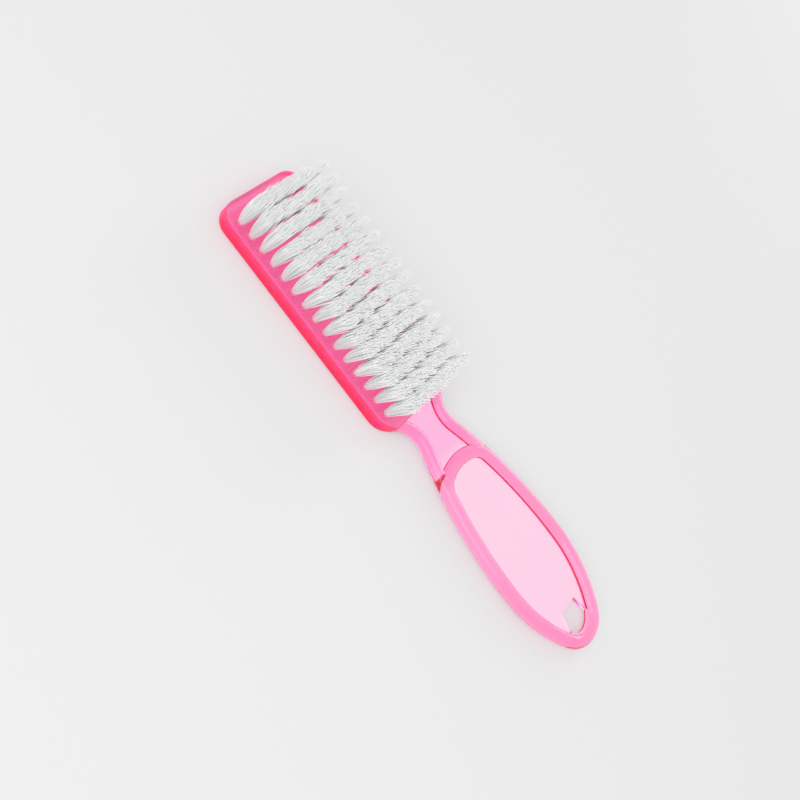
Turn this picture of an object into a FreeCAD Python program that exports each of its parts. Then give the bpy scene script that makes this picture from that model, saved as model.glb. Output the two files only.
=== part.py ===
import FreeCAD, Part
import math
import os
import Sketcher
from FreeCAD import Placement, Rotation, Vector

# A long-handled nail brush. The moulded body is a flat head plate, a waisted neck and an egg-shaped grip.
# Tufts of bristle stand in blind holes in the head, and a flat metal anchor traps the fold of each tuft.
# The brush lies on its back: +X runs from the head to the grip's tail, +Z is the way the bristles point,
# and the origin is under the middle of the whole brush. The rims and the panel lie in the middle plane of
# the head. All lengths are in millimetres.

document = FreeCAD.newDocument("nail_brush")
sheet = document.addObject("Spreadsheet::Sheet", "sizes")

# Driving dimensions: the name, the value and what it measures.
DRIVING_SIZES = [
    ("tuft_ranks", 15, "ranks of tufts along the head"),
    ("rank_tufts", 5, "tufts in each rank, across the head"),
    ("rank_pitch", 4.94, "from rank to rank"),
    ("tuft_pitch", 6.15, "from tuft to tuft across the head"),
    ("head_end_margin", 6.5, "head's end to the first rank"),
    ("head_neck_margin", 5.7, "last rank to the step where the head plate ends"),
    ("head_side_margin", 4.3, "outermost tuft to the head's side"),
    ("head_thickness", 5.6, "back to the face that carries the tufts"),
    ("head_corner_radius", 6.0, "corners of the head in plan"),
    ("head_face_round", 0.6, "round along the edge of the tufted face"),
    ("head_back_round", 1.2, "round along the edge of the back"),
    ("back_sweep_run", 5.0, "length over which the head's back sweeps up to the step"),
    ("back_sweep_rise", 1.3, "rise of that sweep at the step"),
    ("shoulder_angle", 44, "slope of the shoulder to the length, in degrees"),
    ("shoulder_radius", 8.5, "round where the head's side turns into the shoulder"),
    ("neck_length", 18.3, "step of the head to the front of the grip's rim"),
    ("waist_distance", 8.1, "step of the head to the narrowest place"),
    ("waist_width", 16.8, "width at the narrowest place"),
    ("waist_radius", 8.5, "hollow round of the waist in plan"),
    ("neck_rim_diameter", 4.2, "round rims along both sides of the neck"),
    ("neck_rim_inset", 0.12, "neck rims set in from the head's outline"),
    ("grip_length", 75.4, "front of the grip's rim to the tail"),
    ("grip_width", 35.0, "widest place of the grip"),
    ("belly_distance", 32.0, "tail to the widest place"),
    ("tail_radius", 11.6, "round of the tail in plan"),
    ("grip_front_radius", 21.0, "round of the front of the grip's rim in plan"),
    ("grip_corner_radius", 8.6, "corners between the rim's front and its sides"),
    ("grip_rim_diameter", 4.8, "round rim about the grip"),
    ("panel_thickness", 1.5, "thin panel inside the rims"),
    ("hang_hole_distance", 14.1, "tail to the straight front edge of the hang hole"),
    ("hang_hole_width", 7.9, "straight front edge of the hang hole"),
    ("hang_hole_flare", 13.5, "slope of the hang hole's sides to the length, in degrees"),
    ("hang_hole_reach", 4.4, "tail to the round back edge of the hang hole"),
    ("tuft_hole_diameter", 2.4, "blind hole for a tuft"),
    ("tuft_hole_depth", 4.2, "depth of that hole"),
    ("hole_mouth_diameter", 3.8, "sunk mouth of that hole at the head's face"),
    ("hole_mouth_depth", 0.5, "depth of the sunk mouth"),
    ("tuft_clearance", 0.05, "tuft to the wall of its hole"),
    ("bristle_length", 14.6, "free length of the bristles above the head"),
    ("tuft_tip_diameter", 4.0, "spread of a tuft at its tip"),
    ("tuft_tip_crown", 0.7, "rise of the rounded end of a tuft"),
    ("anchor_thickness", 0.35, "flat wire of an anchor"),
    ("anchor_height", 1.4, "height of that wire"),
    ("anchor_bite", 0.3, "how far each end of an anchor goes into the plastic"),
    ("anchor_seat", 0.7, "folded bristle below an anchor"),
    ("anchor_clearance", 0.02, "anchor to the notch and to the bristles beside it"),
]

for row, (alias, value, note) in enumerate(DRIVING_SIZES, start=1):
    sheet.set(f"A{row}", alias)
    sheet.set(f"B{row}", str(value))
    sheet.set(f"C{row}", note)
    sheet.setAlias(f"B{row}", alias)
document.recompute()


# Names for the points of a sketch's pieces, for its own origin, and for tolerances.
START, END, CENTRE = range(1, 4)
SKETCH_ORIGIN = (-1, 1)
SAME_DIRECTION = 1e-6
SAME_HEIGHT = 1e-4
LEAST_CHANGE = 1e-3
FULL_TURN = 360


def size(alias):
    """The value of one driving dimension."""
    return float(sheet.get(alias))


# Lengths as expressions on the sheet, for the features that follow.
RANK_SPAN = "(sizes.tuft_ranks - 1) * sizes.rank_pitch"
TUFT_SPAN = "(sizes.rank_tufts - 1) * sizes.tuft_pitch"
HEAD_LENGTH = f"(sizes.head_end_margin + {RANK_SPAN} + sizes.head_neck_margin)"
HALF_LENGTH = f"({HEAD_LENGTH} + sizes.neck_length + sizes.grip_length) / 2"
HEAD_WIDTH = f"({TUFT_SPAN} + 2 * sizes.head_side_margin)"
FIRST_RANK_X = f"(sizes.head_end_margin - {HALF_LENGTH})"
RIM_RADIUS = "sizes.grip_rim_diameter / 2"
MIDDLE_HEIGHT = "sizes.head_thickness / 2"
HOLE_FLOOR = "(sizes.head_thickness - sizes.tuft_hole_depth)"
ANCHOR_FOOT = f"({HOLE_FLOOR} + sizes.anchor_seat)"
ANCHOR_LENGTH = "(sizes.tuft_hole_diameter + 2 * sizes.anchor_bite)"
NOTCH_WIDTH = "sizes.anchor_thickness + 2 * sizes.anchor_clearance"

# The same lengths as numbers, for placing the outline.
rank_span = (size("tuft_ranks") - 1) * size("rank_pitch")
tuft_span = (size("rank_tufts") - 1) * size("tuft_pitch")
head_length = size("head_end_margin") + rank_span + size("head_neck_margin")
total_length = head_length + size("neck_length") + size("grip_length")
head_x = -total_length / 2
step_x = head_x + head_length
front_x = step_x + size("neck_length")
tail_x = total_length / 2
head_half = tuft_span / 2 + size("head_side_margin")
waist_half = size("waist_width") / 2
belly_half = size("grip_width") / 2
middle_height = size("head_thickness") / 2
rim_radius = size("grip_rim_diameter") / 2
neck_rim_radius = size("neck_rim_diameter") / 2
shoulder_angle = math.radians(size("shoulder_angle"))

# The outline in plan is a chain of tangent lines and arcs. These are the centres and radii of its arcs.
waist_centre = Vector(step_x + size("waist_distance"), waist_half + size("waist_radius"), 0)
shoulder_drop = (size("shoulder_radius") + size("waist_radius")) * (1 - math.cos(shoulder_angle))
shoulder_straight = (head_half - waist_half - shoulder_drop) / math.sin(shoulder_angle)
shoulder_run = (size("shoulder_radius") + size("waist_radius")) * math.sin(shoulder_angle)
shoulder_x = waist_centre.x - shoulder_run - shoulder_straight * math.cos(shoulder_angle)
shoulder_centre = Vector(shoulder_x, head_half - size("shoulder_radius"), 0)

belly_x = tail_x - size("belly_distance")
belly_rise = belly_half - waist_half - size("waist_radius")
flank_radius = (belly_x - waist_centre.x) ** 2 + belly_rise ** 2 - size("waist_radius") ** 2
flank_radius = flank_radius / (2 * (belly_half - waist_half))
flank_centre = Vector(belly_x, belly_half - flank_radius, 0)
tail_centre = Vector(tail_x - size("tail_radius"), 0, 0)
haunch_radius = (tail_centre.x - belly_x) ** 2 + belly_half ** 2 - size("tail_radius") ** 2
haunch_radius = haunch_radius / (2 * (belly_half - size("tail_radius")))
haunch_centre = Vector(belly_x, belly_half - haunch_radius, 0)
front_centre = Vector(front_x + size("grip_front_radius"), 0, 0)


def heading(start, end):
    """The angle of the way from one point to another in plan."""
    return math.atan2(end.y - start.y, end.x - start.x)


def on_circle(centre, radius, angle):
    """The point of a circle at an angle."""
    return centre + Vector(radius * math.cos(angle), radius * math.sin(angle), 0)


def corner_circle_centre():
    """The centre of the round that touches both the front and the flank of the grip's rim from inside."""
    to_front = size("grip_front_radius") - size("grip_corner_radius")
    to_flank = flank_radius - size("grip_corner_radius")
    axis = flank_centre - front_centre
    apart = axis.Length
    along = (to_front ** 2 - to_flank ** 2 + apart ** 2) / (2 * apart)
    across = math.sqrt(to_front ** 2 - along ** 2)
    axis.normalize()
    forward = Vector(axis.y, -axis.x, 0)
    return front_centre + axis * along + forward * across


corner_centre = corner_circle_centre()
quarter = math.pi / 2
slope_start = quarter - shoulder_angle
waist_start = -quarter - shoulder_angle
flank_waist = heading(flank_centre, waist_centre)
flank_corner = heading(flank_centre, corner_centre)
front_corner = heading(front_centre, corner_centre)
haunch_tail = heading(haunch_centre, tail_centre)


def line(start, end):
    """A straight piece of an outline."""
    return ("line", start, end)


def arc(centre, radius, start, end):
    """A round piece of an outline, from one angle to another, either way about its centre."""
    return ("arc", centre, radius, start, end)


def mirrored(pieces):
    """The same outline on the other side of the brush's middle plane, gone along backwards."""
    result = []
    for piece in reversed(pieces):
        if piece[0] == "line":
            start = Vector(piece[1].x, -piece[1].y, 0)
            end = Vector(piece[2].x, -piece[2].y, 0)
            result.append(line(end, start))
        else:
            centre = Vector(piece[1].x, -piece[1].y, 0)
            result.append(arc(centre, piece[2], -piece[4], -piece[3]))
    return result


def ends(piece):
    """The first and last point of a piece."""
    if piece[0] == "line":
        return piece[1], piece[2]
    return on_circle(piece[1], piece[2], piece[3]), on_circle(piece[1], piece[2], piece[4])


def directions(piece):
    """The way a piece runs at its first and last point, as angles."""
    if piece[0] == "line":
        way = heading(piece[1], piece[2])
        return way, way
    turn = math.copysign(quarter, piece[4] - piece[3])
    return piece[3] + turn, piece[4] + turn


def draw_chain(sketch, pieces, closed):
    """Draws an outline in a sketch and ties neighbouring pieces together, smoothly where they run on."""
    drawn = []
    for piece in pieces:
        if piece[0] == "line":
            index = sketch.addGeometry(Part.LineSegment(piece[1], piece[2]), False)
            drawn.append((index, START, END))
        else:
            circle = Part.Circle(piece[1], Vector(0, 0, 1), piece[2])
            low, high = sorted((piece[3], piece[4]))
            index = sketch.addGeometry(Part.ArcOfCircle(circle, low, high), False)
            drawn.append((index, START, END) if piece[4] > piece[3] else (index, END, START))
    joints = len(pieces) if closed else len(pieces) - 1
    for joint in range(joints):
        following = (joint + 1) % len(pieces)
        here = drawn[joint]
        there = drawn[following]
        bend = directions(pieces[joint])[1] - directions(pieces[following])[0]
        kind = "Tangent" if abs(math.sin(bend)) < SAME_DIRECTION else "Coincident"
        sketch.addConstraint(Sketcher.Constraint(kind, here[0], here[2], there[0], there[1]))
    return drawn


def bind_radius(sketch, index, radius, name, expression):
    """Gives one round of a sketch its radius from the sheet."""
    constraint = sketch.addConstraint(Sketcher.Constraint("Radius", index, radius))
    sketch.renameConstraint(constraint, name)
    sketch.setExpression(f"Constraints.{name}", expression)


def bind_distance(sketch, kind, first, second, value, name, expression):
    """Gives two points of a sketch their distance, along the length or the height, from the sheet."""
    constraint = sketch.addConstraint(Sketcher.Constraint(kind, *first, *second, value))
    sketch.renameConstraint(constraint, name)
    sketch.setExpression(f"Constraints.{name}", expression)


def put_on_upright_axis(sketch, point):
    """Ties a point of a sketch to the sketch's own upright axis."""
    sketch.addConstraint(Sketcher.Constraint("PointOnObject", *point, -2))


def origin_feature(body, role):
    """One of a body's own origin planes or axes."""
    return next(item for item in body.Origin.OriginFeatures if item.Role == role)


def new_sketch(body, name, plane):
    """An empty sketch on one of a body's own origin planes."""
    sketch = body.newObject("Sketcher::SketchObject", name)
    sketch.AttachmentSupport = (origin_feature(body, plane), [""])
    sketch.MapMode = "FlatFace"
    return sketch


def new_body(name):
    """An empty body whose label names its file."""
    body = document.addObject("PartDesign::Body", name)
    body.Label = name
    body.AllowCompound = True
    return body


def edges_at_height(shape, height, before_x):
    """The names of the edges that lie flat at one height and reach nearer to the head's end than a place."""
    names = []
    for number, edge in enumerate(shape.Edges, start=1):
        box = edge.BoundBox
        flat = abs(box.ZMin - height) < SAME_HEIGHT and abs(box.ZMax - height) < SAME_HEIGHT
        if flat and box.XMin < before_x - SAME_HEIGHT:
            names.append(f"Edge{number}")
    return names


def check_change(before, after, grows, what):
    """Stops the build if a feature added or cut nothing."""
    change = after - before if grows else before - after
    if change < LEAST_CHANGE:
        raise RuntimeError(f"{what} changed nothing")


def flank_pieces(inset):
    """The upper side of the body from the shoulder to the tail, set in from the outline."""
    slope_from = on_circle(shoulder_centre, size("shoulder_radius") - inset, slope_start)
    slope_to = on_circle(waist_centre, size("waist_radius") + inset, waist_start)
    return [
        line(slope_from, slope_to),
        arc(waist_centre, size("waist_radius") + inset, waist_start, flank_waist - math.pi),
        arc(flank_centre, flank_radius - inset, flank_waist, quarter),
        arc(haunch_centre, haunch_radius - inset, quarter, haunch_tail),
        arc(tail_centre, size("tail_radius") - inset, haunch_tail, 0),
    ]


def cut_back_sweep(body, before):
    """Cuts the back of the head plate along a round, so that it sweeps up to the step."""
    run = size("back_sweep_run")
    rise = size("back_sweep_rise")
    radius = (run ** 2 + rise ** 2) / (2 * rise)
    foot = Vector(0, 0, 0)
    top = Vector(0, rise, 0)
    start = Vector(-run, 0, 0)
    centre = Vector(-run, radius, 0)
    sketch = new_sketch(body, "back_sweep_outline", "XZ_Plane")
    sketch.setExpression("AttachmentOffset.Base.x", f"{HEAD_LENGTH} - {HALF_LENGTH}")
    sweep = arc(centre, radius, -quarter, heading(centre, top))
    drawn = draw_chain(sketch, [sweep, line(top, foot), line(foot, start)], True)
    at_start = drawn[0][:2]
    at_top = drawn[1][:2]
    at_foot = drawn[2][:2]
    sketch.addConstraint(Sketcher.Constraint("Coincident", *at_foot, *SKETCH_ORIGIN))
    sketch.addConstraint(Sketcher.Constraint("Vertical", drawn[1][0]))
    sketch.addConstraint(Sketcher.Constraint("Horizontal", drawn[2][0]))
    bind_distance(sketch, "DistanceX", at_start, at_foot, run, "run", "sizes.back_sweep_run")
    bind_distance(sketch, "DistanceY", at_foot, at_top, rise, "rise", "sizes.back_sweep_rise")

    cut = body.newObject("PartDesign::Pocket", "back_sweep")
    cut.Profile = sketch
    cut.SideType = "Symmetric"
    cut.Type = "ThroughAll"
    document.recompute()
    check_change(before.Shape.Volume, cut.Shape.Volume, False, "back_sweep")
    return cut


def make_head(body):
    """The head plate with its rounded corners, shoulders and edges."""
    corner = size("head_corner_radius")
    corner_middle = Vector(head_x + corner, head_half - corner, 0)
    slope_from = on_circle(shoulder_centre, size("shoulder_radius"), slope_start)
    step_half = slope_from.y - (step_x - slope_from.x) * math.tan(shoulder_angle)
    upper = [
        arc(corner_middle, corner, math.pi, quarter),
        line(Vector(corner_middle.x, head_half, 0), Vector(shoulder_x, head_half, 0)),
        arc(shoulder_centre, size("shoulder_radius"), quarter, slope_start),
        line(slope_from, Vector(step_x, step_half, 0)),
    ]
    lower = mirrored(upper)
    step = line(Vector(step_x, step_half, 0), Vector(step_x, -step_half, 0))
    end = line(Vector(head_x, -corner_middle.y, 0), Vector(head_x, corner_middle.y, 0))
    sketch = new_sketch(body, "head_outline", "XY_Plane")
    drawn = draw_chain(sketch, upper + [step] + lower + [end], True)
    bind_radius(sketch, drawn[0][0], corner, "corner", "sizes.head_corner_radius")
    bind_radius(sketch, drawn[2][0], size("shoulder_radius"), "shoulder", "sizes.shoulder_radius")
    upper_side = (drawn[1][0], START)
    lower_side = (drawn[7][0], START)
    bind_distance(sketch, "DistanceY", lower_side, upper_side, 2 * head_half, "width", HEAD_WIDTH)
    end_foot = (drawn[9][0], START)
    step_foot = (drawn[4][0], END)
    bind_distance(sketch, "DistanceX", end_foot, step_foot, head_length, "length", HEAD_LENGTH)

    plate = body.newObject("PartDesign::Pad", "head_plate")
    plate.Profile = sketch
    plate.setExpression("Length", "sizes.head_thickness")
    document.recompute()

    swept = cut_back_sweep(body, plate)
    face_round = body.newObject("PartDesign::Fillet", "head_face_edge")
    face_round.Base = (swept, edges_at_height(swept.Shape, size("head_thickness"), tail_x))
    face_round.setExpression("Radius", "sizes.head_face_round")
    document.recompute()
    check_change(swept.Shape.Volume, face_round.Shape.Volume, False, "head_face_edge")

    sweep_x = step_x - size("back_sweep_run")
    back_round = body.newObject("PartDesign::Fillet", "head_back_edge")
    back_round.Base = (face_round, edges_at_height(face_round.Shape, 0, sweep_x))
    back_round.setExpression("Radius", "sizes.head_back_round")
    document.recompute()
    check_change(face_round.Shape.Volume, back_round.Shape.Volume, False, "head_back_edge")
    return back_round


def make_panel(body, before):
    """The thin panel inside the neck and the grip, in the middle plane of the head."""
    upper = flank_pieces(rim_radius)
    lower = mirrored(upper)
    root = line(ends(lower[-1])[1], ends(upper[0])[0])
    sketch = new_sketch(body, "panel_outline", "XY_Plane")
    sketch.setExpression("AttachmentOffset.Base.z", MIDDLE_HEIGHT)
    drawn = draw_chain(sketch, upper + lower + [root], True)
    waist = f"sizes.waist_radius + {RIM_RADIUS}"
    bind_radius(sketch, drawn[1][0], size("waist_radius") + rim_radius, "waist", waist)
    tail = f"sizes.tail_radius - {RIM_RADIUS}"
    bind_radius(sketch, drawn[4][0], size("tail_radius") - rim_radius, "tail", tail)

    panel = body.newObject("PartDesign::Pad", "panel")
    panel.Profile = sketch
    panel.SideType = "Symmetric"
    panel.setExpression("Length", "sizes.panel_thickness")
    document.recompute()
    check_change(before.Shape.Volume, panel.Shape.Volume, True, "panel")
    return panel


def make_neck_rims(body, before):
    """The round rims along both sides of the neck, from inside the head to inside the grip's rim."""
    inset = neck_rim_radius + size("neck_rim_inset")
    slope, waist, flank = flank_pieces(inset)[:3]
    flank = arc(flank[1], flank[2], flank[3], flank_corner)
    path = new_sketch(body, "neck_rim_path", "XY_Plane")
    path.setExpression("AttachmentOffset.Base.z", MIDDLE_HEIGHT)
    drawn = draw_chain(path, [slope, waist, flank], False)
    waist_size = "sizes.waist_radius + sizes.neck_rim_diameter / 2 + sizes.neck_rim_inset"
    bind_radius(path, drawn[1][0], size("waist_radius") + inset, "waist", waist_size)

    section = new_sketch(body, "neck_rim_section", "YZ_Plane")
    start = slope[1]
    square_to_path = Rotation(Vector(0, 1, 0), -size("shoulder_angle"))
    section.AttachmentOffset = Placement(Vector(start.y, middle_height, start.x), square_to_path)
    section.setExpression("AttachmentOffset.Base.y", MIDDLE_HEIGHT)
    circle = section.addGeometry(Part.Circle(Vector(0, 0, 0), Vector(0, 0, 1), neck_rim_radius), False)
    section.addConstraint(Sketcher.Constraint("Coincident", circle, CENTRE, *SKETCH_ORIGIN))
    bind_radius(section, circle, neck_rim_radius, "rim", "sizes.neck_rim_diameter / 2")

    rim = body.newObject("PartDesign::AdditivePipe", "neck_rim")
    rim.Profile = section
    rim.Spine = path
    document.recompute()
    check_change(before.Shape.Volume, rim.Shape.Volume, True, "neck_rim")

    both = body.newObject("PartDesign::Mirrored", "neck_rims")
    both.Originals = [rim]
    both.MirrorPlane = (origin_feature(body, "XZ_Plane"), [""])
    body.Tip = both
    document.recompute()
    check_change(rim.Shape.Volume, both.Shape.Volume, True, "neck_rims")
    return both


def make_grip_rim(body, before):
    """The round rim about the grip, one closed ring that starts and ends at the tail."""
    back = [
        arc(tail_centre, size("tail_radius") - rim_radius, 0, haunch_tail),
        arc(haunch_centre, haunch_radius - rim_radius, haunch_tail, quarter),
        arc(flank_centre, flank_radius - rim_radius, quarter, flank_corner),
        arc(corner_centre, size("grip_corner_radius") - rim_radius, flank_corner, front_corner),
        arc(front_centre, size("grip_front_radius") - rim_radius, front_corner, math.pi),
    ]
    path = new_sketch(body, "grip_rim_path", "XY_Plane")
    path.setExpression("AttachmentOffset.Base.z", MIDDLE_HEIGHT)
    drawn = draw_chain(path, back + mirrored(back), True)
    tail = f"sizes.tail_radius - {RIM_RADIUS}"
    bind_radius(path, drawn[0][0], size("tail_radius") - rim_radius, "tail", tail)
    corner = f"sizes.grip_corner_radius - {RIM_RADIUS}"
    bind_radius(path, drawn[3][0], size("grip_corner_radius") - rim_radius, "corner", corner)
    front = f"sizes.grip_front_radius - {RIM_RADIUS}"
    bind_radius(path, drawn[4][0], size("grip_front_radius") - rim_radius, "front", front)

    section = new_sketch(body, "grip_rim_section", "XZ_Plane")
    centre = Vector(tail_x - rim_radius, middle_height, 0)
    circle = section.addGeometry(Part.Circle(centre, Vector(0, 0, 1), rim_radius), False)
    bind_radius(section, circle, rim_radius, "rim", RIM_RADIUS)
    middle = (circle, CENTRE)
    tail_middle = f"{HALF_LENGTH} - {RIM_RADIUS}"
    bind_distance(section, "DistanceX", SKETCH_ORIGIN, middle, centre.x, "tail", tail_middle)
    bind_distance(section, "DistanceY", SKETCH_ORIGIN, middle, centre.y, "height", MIDDLE_HEIGHT)

    rim = body.newObject("PartDesign::AdditivePipe", "grip_rim")
    rim.Profile = section
    rim.Spine = path
    document.recompute()
    check_change(before.Shape.Volume, rim.Shape.Volume, True, "grip_rim")
    return rim


def make_hang_hole(body, before):
    """The hole by which the brush hangs: a straight front edge, flared sides and a round back edge."""
    edge_x = tail_x - size("hang_hole_distance")
    edge_half = size("hang_hole_width") / 2
    flare = math.tan(math.radians(size("hang_hole_flare")))
    back_radius = size("tail_radius") - size("hang_hole_reach")
    offset = edge_x - tail_centre.x
    square = 1 + flare ** 2
    linear = offset + edge_half * flare
    constant = offset ** 2 + edge_half ** 2 - back_radius ** 2
    side_run = (-linear + math.sqrt(linear ** 2 - square * constant)) / square
    front_corner_point = Vector(edge_x, edge_half, 0)
    back_corner_point = Vector(edge_x + side_run, edge_half + side_run * flare, 0)
    back_angle = heading(tail_centre, back_corner_point)
    upper = line(front_corner_point, back_corner_point)
    pieces = [upper, arc(tail_centre, back_radius, back_angle, -back_angle)] + mirrored([upper])
    pieces.append(line(Vector(edge_x, -edge_half, 0), front_corner_point))
    sketch = new_sketch(body, "hang_hole_outline", "XY_Plane")
    drawn = draw_chain(sketch, pieces, True)
    bind_radius(sketch, drawn[1][0], back_radius, "back", "sizes.tail_radius - sizes.hang_hole_reach")
    low = (drawn[3][0], START)
    high = (drawn[3][0], END)
    bind_distance(sketch, "DistanceY", low, high, 2 * edge_half, "front", "sizes.hang_hole_width")

    hole = body.newObject("PartDesign::Pocket", "hang_hole")
    hole.Profile = sketch
    hole.SideType = "Symmetric"
    hole.Type = "ThroughAll"
    document.recompute()
    check_change(before.Shape.Volume, hole.Shape.Volume, False, "hang_hole")
    return hole


def draw_centred_box(sketch, width, height):
    """A rectangle about a sketch's origin, its width and height given as expressions."""
    corners = [Vector(-1, -1, 0), Vector(1, -1, 0), Vector(1, 1, 0), Vector(-1, 1, 0)]
    sides = [line(corners[side], corners[(side + 1) % 4]) for side in range(4)]
    drawn = draw_chain(sketch, sides, True)
    for side, kind in enumerate(("Horizontal", "Vertical", "Horizontal", "Vertical")):
        sketch.addConstraint(Sketcher.Constraint(kind, drawn[side][0]))
    first, second, third = [side[0] for side in drawn[:3]]
    about_origin = Sketcher.Constraint("Symmetric", first, START, third, START, *SKETCH_ORIGIN)
    sketch.addConstraint(about_origin)
    bind_distance(sketch, "DistanceX", (first, START), (first, END), 2, "width", width)
    bind_distance(sketch, "DistanceY", (second, START), (second, END), 2, "height", height)


def draw_turned_profile(sketch, profile, crown=None):
    """A closed half section beside a sketch's upright axis, from its foot to its top.

    Each point of the profile is its name, radius and height with the expressions that set them. With a
    crown radius, the last stretch back to the axis is a round whose centre is on the axis.
    """
    points = [Vector(radius, height, 0) for _, radius, _, height, _ in profile]
    pieces = [line(points[number], points[number + 1]) for number in range(len(points) - 1)]
    if crown:
        middle = Vector(0, points[-1].y - crown, 0)
        pieces[-1] = arc(middle, crown, heading(middle, points[-2]), quarter)
    pieces.append(line(points[-1], points[0]))
    drawn = draw_chain(sketch, pieces, True)
    for number, (name, radius, across, height, up) in enumerate(profile):
        point = drawn[number][:2]
        if radius:
            bind_distance(sketch, "DistanceX", SKETCH_ORIGIN, point, radius, f"{name}_radius", across)
        else:
            put_on_upright_axis(sketch, point)
        bind_distance(sketch, "DistanceY", SKETCH_ORIGIN, point, height, f"{name}_height", up)
    if crown:
        put_on_upright_axis(sketch, (drawn[-2][0], CENTRE))


def make_tuft_holes(body, before):
    """The blind holes for the tufts, each with a sunk mouth and a notch on both sides for its anchor."""
    hole_radius = size("tuft_hole_diameter") / 2
    mouth_radius = size("hole_mouth_diameter") / 2
    face = size("head_thickness")
    floor = face - size("tuft_hole_depth")
    mouth_floor = face - size("hole_mouth_depth")
    hole_sketch = new_sketch(body, "tuft_hole_profile", "XZ_Plane")
    hole_sketch.setExpression("AttachmentOffset.Base.x", FIRST_RANK_X)
    hole_sketch.setExpression("AttachmentOffset.Base.z", f"{TUFT_SPAN} / 2")
    hole_size = "sizes.tuft_hole_diameter / 2"
    mouth_size = "sizes.hole_mouth_diameter / 2"
    draw_turned_profile(hole_sketch, [
        ("axis_foot", 0, None, floor, HOLE_FLOOR),
        ("floor", hole_radius, hole_size, floor, HOLE_FLOOR),
        ("mouth", hole_radius, hole_size, mouth_floor, "sizes.head_thickness - sizes.hole_mouth_depth"),
        ("rim", mouth_radius, mouth_size, face, "sizes.head_thickness"),
        ("axis_top", 0, None, face, "sizes.head_thickness"),
    ])
    hole = body.newObject("PartDesign::Groove", "tuft_hole")
    hole.Profile = hole_sketch
    hole.ReferenceAxis = (hole_sketch, ["V_Axis"])
    hole.Angle = FULL_TURN
    document.recompute()
    check_change(before.Shape.Volume, hole.Shape.Volume, False, "tuft_hole")

    notch_sketch = new_sketch(body, "anchor_notch_outline", "XY_Plane")
    notch_sketch.setExpression("AttachmentOffset.Base.x", FIRST_RANK_X)
    notch_sketch.setExpression("AttachmentOffset.Base.y", f"-{TUFT_SPAN} / 2")
    notch_sketch.setExpression("AttachmentOffset.Base.z", "sizes.head_thickness")
    draw_centred_box(notch_sketch, NOTCH_WIDTH, f"{ANCHOR_LENGTH} + 2 * sizes.anchor_clearance")
    notch = body.newObject("PartDesign::Pocket", "anchor_notch")
    notch.Profile = notch_sketch
    notch.setExpression("Length", f"sizes.head_thickness - {ANCHOR_FOOT}")
    document.recompute()
    check_change(hole.Shape.Volume, notch.Shape.Volume, False, "anchor_notch")

    holes = body.newObject("PartDesign::LinearPattern", "tuft_holes")
    holes.Originals = [hole, notch]
    holes.Direction = (origin_feature(body, "X_Axis"), [""])
    holes.Direction2 = (origin_feature(body, "Y_Axis"), [""])
    holes.setExpression("Occurrences", "sizes.tuft_ranks")
    holes.setExpression("Length", RANK_SPAN)
    holes.setExpression("Occurrences2", "sizes.rank_tufts")
    holes.setExpression("Length2", TUFT_SPAN)
    body.Tip = holes
    document.recompute()
    check_change(notch.Shape.Volume, holes.Shape.Volume, False, "tuft_holes")


def repeat_across(body, feature):
    """Repeats a feature across the head, once for each tuft of a rank."""
    rank = body.newObject("PartDesign::LinearPattern", f"{body.Label}_row")
    rank.Originals = [feature]
    rank.Direction = (origin_feature(body, "Y_Axis"), [""])
    rank.setExpression("Occurrences", "sizes.rank_tufts")
    rank.setExpression("Length", TUFT_SPAN)
    body.Tip = rank
    document.recompute()
    check_change(feature.Shape.Volume, rank.Shape.Volume, True, rank.Label)
    return rank


def place_rank(body, number):
    """Moves a rank of tufts or anchors to its place along the head."""
    body.setExpression("Placement.Base.x", f"{FIRST_RANK_X} + {number - 1} * sizes.rank_pitch")


def make_tuft_rank(number):
    """One rank of tufts. Each fills its hole, spreads above it and folds round its anchor."""
    body = new_body(f"tuft_rank_{number:02d}")
    face = size("head_thickness")
    floor = face - size("tuft_hole_depth")
    root_radius = size("tuft_hole_diameter") / 2 - size("tuft_clearance")
    root_size = "sizes.tuft_hole_diameter / 2 - sizes.tuft_clearance"
    tip_radius = size("tuft_tip_diameter") / 2
    tip = face + size("bristle_length")
    tip_size = "sizes.head_thickness + sizes.bristle_length"
    crown = size("tuft_tip_crown")
    edge_size = f"{tip_size} - sizes.tuft_tip_crown"
    profile = new_sketch(body, f"{body.Label}_profile", "XZ_Plane")
    profile.setExpression("AttachmentOffset.Base.z", f"{TUFT_SPAN} / 2")
    draw_turned_profile(profile, [
        ("axis_foot", 0, None, floor, HOLE_FLOOR),
        ("foot", root_radius, root_size, floor, HOLE_FLOOR),
        ("neck", root_radius, root_size, face, "sizes.head_thickness"),
        ("tip", tip_radius, "sizes.tuft_tip_diameter / 2", tip - crown, edge_size),
        ("axis_tip", 0, None, tip, tip_size),
    ], crown=(tip_radius ** 2 + crown ** 2) / (2 * crown))
    tuft = body.newObject("PartDesign::Revolution", f"{body.Label}_tuft")
    tuft.Profile = profile
    tuft.ReferenceAxis = (profile, ["V_Axis"])
    tuft.Angle = FULL_TURN
    document.recompute()
    rank = repeat_across(body, tuft)

    window_outline = new_sketch(body, f"{body.Label}_fold", "XZ_Plane")
    window_outline.setExpression("AttachmentOffset.Base.y", f"{ANCHOR_FOOT} + sizes.anchor_height / 2")
    draw_centred_box(window_outline, NOTCH_WIDTH, "sizes.anchor_height + 2 * sizes.anchor_clearance")
    window = body.newObject("PartDesign::Pocket", f"{body.Label}_window")
    window.Profile = window_outline
    window.SideType = "Symmetric"
    window.Type = "ThroughAll"
    document.recompute()
    check_change(rank.Shape.Volume, window.Shape.Volume, False, window.Label)
    place_rank(body, number)
    return body


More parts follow.
